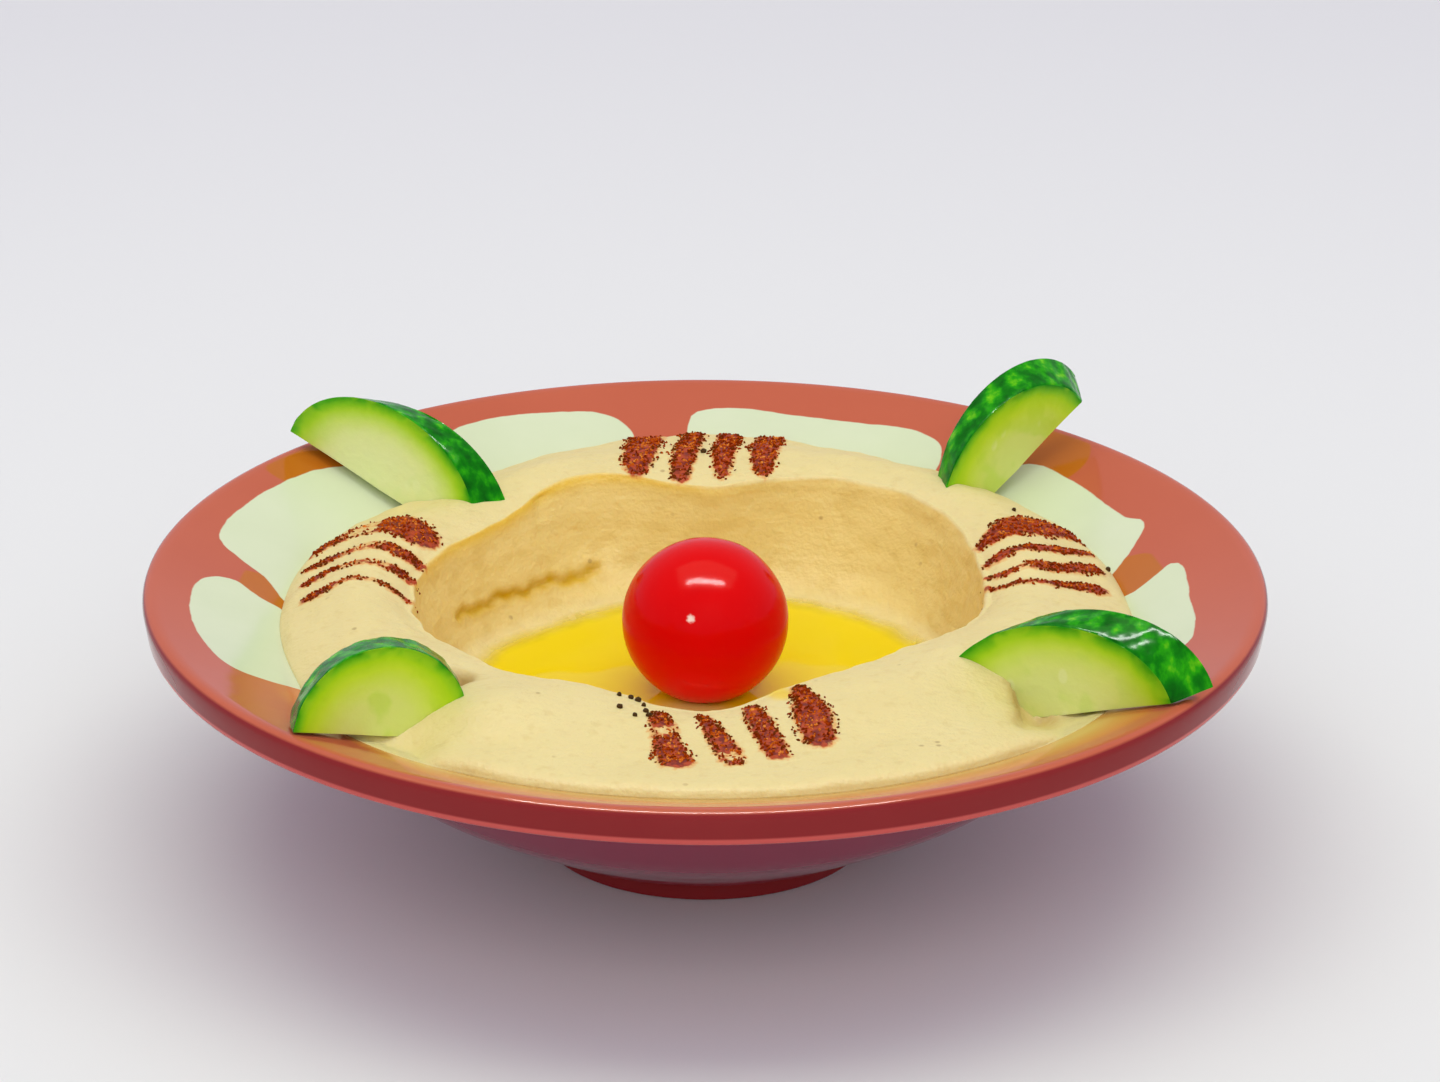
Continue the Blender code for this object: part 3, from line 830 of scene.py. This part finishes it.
flesh_finish = Finish("cucumber_flesh", {
    "IOR": 1.4, "Specular IOR Level": 0.2, "Subsurface Weight": 0.25,
    "Subsurface Radius": (0.8, 1.0, 0.3), "Subsurface Scale": 0.003})
ring_place = flesh_finish.stored("from_middle") + 0.10 * flesh_finish.clouds(5, 3) - 0.05
flesh = flesh_finish.ramp(ring_place, [
    (0.0, paint(213, 228, 128)), (0.42, paint(211, 228, 118)), (0.56, paint(206, 228, 94)),
    (0.74, paint(193, 226, 48)), (0.85, paint(168, 216, 16)), (0.91, paint(128, 198, 20)),
    (0.96, paint(80, 170, 10)), (0.99, paint(30, 142, 0))])
watery = flesh_finish.step(flesh_finish.clouds(7, 2), 0.5, 0.62)
flesh = flesh_finish.mixed(0.4 * watery, flesh, paint(176, 218, 32))
pale_share = 1.5 * flesh_finish.stored("pale") * flesh_finish.step(ring_place, 0.92, 0.52)
flesh = flesh_finish.mixed(pale_share, flesh, paint(240, 244, 190))
seeds = flesh_finish.step(flesh_finish.cells(4.2, stretch=(1, 1, 0.6)), 0.26, 0.14)
seed_zone = flesh_finish.step(ring_place, 0.66, 0.5)
flesh = flesh_finish.mixed(0.45 * seeds * seed_zone, flesh, paint(232, 242, 180))
flesh_finish.feed("Base Color", flesh)
flesh_finish.feed("Roughness", 0.3 + 0.15 * flesh_finish.clouds(3, 2))
flesh_finish.rough(flesh_finish.clouds(1.8, 3), 0.15)

rind_finish = Finish("cucumber_rind", {"IOR": 1.42, "Specular IOR Level": 0.14})
streaks = rind_finish.clouds(2.6, 4, stretch=(1, 1, 0.5))
rind_tone = rind_finish.ramp(streaks, [
    (0.3, paint(0, 90, 0)), (0.47, paint(6, 120, 0)), (0.6, paint(38, 160, 0)),
    (0.74, paint(114, 200, 14))])
rind_finish.feed("Base Color", rind_tone)
rind_finish.feed("Roughness", 0.09 + 0.14 * rind_finish.clouds(2, 3))
rind_finish.rough(rind_finish.clouds(3.2, 1.5, stretch=(1, 1, 0.6)), 0.2)
for slice_name, slice_row in CUCUMBERS.items():
    piece = half_slice(slice_name + "_slice", slice_row)
    piece.data.materials.append(flesh_finish.material)
    piece.data.materials.append(rind_finish.material)
    shares = piece.data.attributes["from_middle"].data
    for face in piece.data.polygons:
        face.material_index = min(shares[corner].value for corner in face.vertices) > RIND_FROM
    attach(piece, "root")
    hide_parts(slice_name)


# Ground spice: coarse dark red grains, pinched on in stripes over the crest of the hummus, and
# a few loose dark specks beside them. The grains are strewn over thin strips along the stripes.
GRAIN_SIZE = 0.72
GRAIN_LEAST = (0.25, 0.2, 0.15)
GRAIN_MOST = (0.75, 0.6, 0.45)
GRAINS_PER_MM2 = 3.6
LOWEST_GRAIN = 42
BED_STEPS = 8
BED_MARGIN = 1
SPECK_SIZE = 0.42
SPECK_SPREAD = 0.08
SPECK_RISE = 0.2
SPECKS = [(57.0, 38.0), (73.2, 18.6), (-0.4, 64.0), (-14.6, -49.7),
          (-12.6, -49.8), (-11.4, -50.4), (-10.4, -52.6), (-10.0, -55.4), (-14.4, -55.6),
          (-11.8, -58.4), (-9.5, -57.8)]

hummus_surface = BVHTree.FromPolygons([Vector(p) for p in moved], hummus_faces)
patch_points = []
patch_faces = []
patch_heap = []
patch_rim = []
for row in STRIPES:
    curve = flowing(row[0], 8)
    ways = np.gradient(curve[:, :2], axis=0)
    ways /= np.linalg.norm(ways, axis=1)[:, None]
    start = len(patch_points)
    strip = [(curve[0, :2] - BED_MARGIN * ways[0], ways[0], curve[0, 2]),
             *zip(curve[:, :2], ways, curve[:, 2]),
             (curve[-1, :2] + BED_MARGIN * ways[-1], ways[-1], curve[-1, 2])]
    for (x, y), (dx, dy), width in strip:
        for across in np.linspace(-0.5, 0.5, BED_STEPS + 1) * (width + 2 * BED_MARGIN):
            patch_points.append(on_surface(hummus_surface, x - dy * across, y + dx * across))
    depth, bare = stripe_cover(hummus_surface, row, np.array(patch_points[start:]))
    for inside_mm, open_middle, point in zip(depth, bare, patch_points[start:]):
        ragged = noise.noise(point / 1.7)
        full = min(1, max(0, 2.2 * (inside_mm + 0.35 + 0.7 * ragged)))
        within = min(1, max(0, (inside_mm - 0.4) / 0.8))
        full *= (point.z > LOWEST_GRAIN) * (0.5 if open_middle else 1)
        patch_heap.append(full * (1 - (0.9 if open_middle else 0.6) * within))
        patch_rim.append(1 - within)
    for k in range(len(strip) - 1):
        for n in range(BED_STEPS):
            first = start + k * (BED_STEPS + 1) + n
            beyond = first + BED_STEPS + 1
            patch_faces.append((first, first + 1, beyond + 1, beyond))
patch = new_mesh("spice_bed", patch_points, patch_faces, {"heap": patch_heap, "rim": patch_rim})
spice = new_object("ground_spice", patch)

spice_finish = Finish("ground_spice", {"Roughness": 0.8, "Specular IOR Level": 0.0})
grain_tone = spice_finish.cells(0.9, "Color")
grain_share = spice_finish.node("SeparateColor", {}, {0: grain_tone}, 0)
grain_share = 0.8 * grain_share + 0.22 - 0.42 * spice_finish.stored("rim")
spice_finish.feed("Base Color", spice_finish.ramp(grain_share, [
    (0.0, paint(108, 54, 16)), (0.28, paint(126, 38, 4)), (0.5, paint(158, 54, 8)),
    (0.72, paint(200, 92, 20)), (1.0, paint(232, 146, 62))]))
spice_finish.rough(spice_finish.clouds(0.25, 2), 0.06)

sprinkle = bpy.data.node_groups.new("sprinkle", "GeometryNodeTree")
sockets = {}
for label, kind in (("Bed", "Geometry"), ("Grain size", "Float"), ("Grains per m2", "Float"),
                    ("Seed", "Int")):
    sockets[label] = sprinkle.interface.new_socket(
        label, in_out="INPUT", socket_type="NodeSocket" + kind)
sprinkle.interface.new_socket("Grains", in_out="OUTPUT", socket_type="NodeSocketGeometry")


def geometry_node(kind, settings, inputs):
    """One node of the sprinkling, with its settings and the values or links of its inputs."""
    made = sprinkle.nodes.new(kind)
    for key, value in settings.items():
        setattr(made, key, value)
    for key, value in inputs.items():
        if isinstance(value, bpy.types.NodeSocket):
            sprinkle.links.new(value, made.inputs[key])
        else:
            made.inputs[key].default_value = value
    return made


given = geometry_node("NodeGroupInput", {}, {})
heap_node = geometry_node("GeometryNodeInputNamedAttribute", {"data_type": "FLOAT"},
                          {"Name": "heap"})
density = geometry_node("ShaderNodeMath", {"operation": "MULTIPLY"},
                        {0: heap_node.outputs["Attribute"], 1: given.outputs["Grains per m2"]})
strewn = geometry_node("GeometryNodeDistributePointsOnFaces", {"distribute_method": "RANDOM"},
                       {"Mesh": given.outputs["Bed"], "Density": density.outputs[0],
                        "Seed": given.outputs["Seed"]})
grain = geometry_node("GeometryNodeMeshIcoSphere", {},
                      {"Radius": given.outputs["Grain size"], "Subdivisions": 1})
spin = geometry_node("FunctionNodeRandomValue", {"data_type": "FLOAT_VECTOR"},
                     {"Min": (0, 0, 0), "Max": (6.28, 6.28, 6.28), "Seed": 3})
shape = geometry_node("FunctionNodeRandomValue", {"data_type": "FLOAT_VECTOR"},
                      {"Min": GRAIN_LEAST, "Max": GRAIN_MOST, "Seed": 8})
placed = geometry_node("GeometryNodeInstanceOnPoints", {}, {
    "Points": strewn.outputs["Points"], "Instance": grain.outputs["Mesh"],
    "Rotation": spin.outputs["Value"], "Scale": shape.outputs["Value"]})
solid = geometry_node("GeometryNodeRealizeInstances", {}, {"Geometry": placed.outputs[0]})
painted = geometry_node("GeometryNodeSetMaterial", {},
                        {"Geometry": solid.outputs[0], "Material": spice_finish.material})
geometry_node("NodeGroupOutput", {}, {"Grains": painted.outputs[0]})

sprinkling = spice.modifiers.new("sprinkle", "NODES")
sprinkling.node_group = sprinkle
for label, value in (("Grain size", GRAIN_SIZE * MM),
                     ("Grains per m2", GRAINS_PER_MM2 / MM ** 2), ("Seed", 11)):
    sprinkling[sockets[label].identifier] = value
graph = bpy.context.evaluated_depsgraph_get()
grains = bpy.data.meshes.new_from_object(spice.evaluated_get(graph), depsgraph=graph)
spice.modifiers.clear()
spice.data = grains
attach(spice, "root")

speck_points = []
speck_faces = []
for number, (x, y) in enumerate(SPECKS):
    work = bmesh.new()
    size = SPECK_SIZE + SPECK_SPREAD * (number % 3)
    bmesh.ops.create_icosphere(work, subdivisions=2, radius=size)
    base = len(speck_points)
    centre = on_surface(hummus_surface, x, y) + Vector((0, 0, SPECK_RISE))
    speck_points += [centre + vertex.co * (1 + 0.3 * noise.noise(vertex.co * 3 + centre))
                     for vertex in work.verts]
    speck_faces += [[base + vertex.index for vertex in face.verts] for face in work.faces]
    work.free()
specks = new_piece("spice_specks", speck_points, speck_faces, {})
speck_finish = Finish("pepper_speck", {"Roughness": 0.7, "Specular IOR Level": 0.05})
speck_tone = speck_finish.mixed(speck_finish.clouds(0.6, 2), paint(52, 36, 14), paint(86, 58, 22))
speck_finish.feed("Base Color", speck_tone)
speck_finish.rough(speck_finish.clouds(0.3, 2), 0.05)
specks.data.materials.append(speck_finish.material)
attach(specks, "root")


# Stage: a plain pale table in a white room, under a wide soft lamp straight above, with a soft
# fill from the front. A narrow strip above gives the highlights only. Each row holds a lamp's
# place and size in metres, power, colour, and whether it lights matt and glossy surfaces.
TABLE_HALF = 3000
LAMPS = {
    "lamp_above": ((0, 0.02, 0.9), (1.1, 0.6), 3.5, (0.93, 1.02, 0.74), True, True),
    "lamp_front": ((0, -1.3, 0.85), (1.2, 0.8), 5.0, (1.0, 1.02, 0.9), True, False),
    "lamp_strip": ((0, -0.16, 0.85), (0.7, 0.1), 17.0, (1.0, 1.0, 1.0), False, True),
}
ROOM_LIGHT = (0.65, 0.62, 0.76, 1)

corners = [(TABLE_HALF * x, TABLE_HALF * y, 0) for x, y in ((-1, -1), (1, -1), (1, 1), (-1, 1))]
table_top = new_object("table_top", new_mesh("table_top", corners, [(0, 1, 2, 3)], {}))
table_finish = Finish("pale_table", {
    "Base Color": paint(232, 232, 230), "Roughness": 0.9, "Specular IOR Level": 0.1})
table_top.data.materials.append(table_finish.material)

for name, (place, size, watts, colour, matt, glossy) in LAMPS.items():
    lamp_data = bpy.data.lights.new(name, "AREA")
    lamp_data.shape = "RECTANGLE"
    lamp_data.size, lamp_data.size_y = size
    lamp_data.energy = watts
    lamp_data.color = colour
    lamp = new_object(name, lamp_data)
    lamp.location = place
    lamp.visible_diffuse = matt
    lamp.visible_glossy = glossy
    lamp.rotation_euler = Vector(place).to_track_quat("Z", "Y").to_euler()

room = bpy.data.worlds.new("room")
room.use_nodes = True
room.node_tree.nodes["Background"].inputs["Color"].default_value = ROOM_LIGHT
room.node_tree.nodes["Background"].inputs["Strength"].default_value = 1
bpy.context.scene.world = room
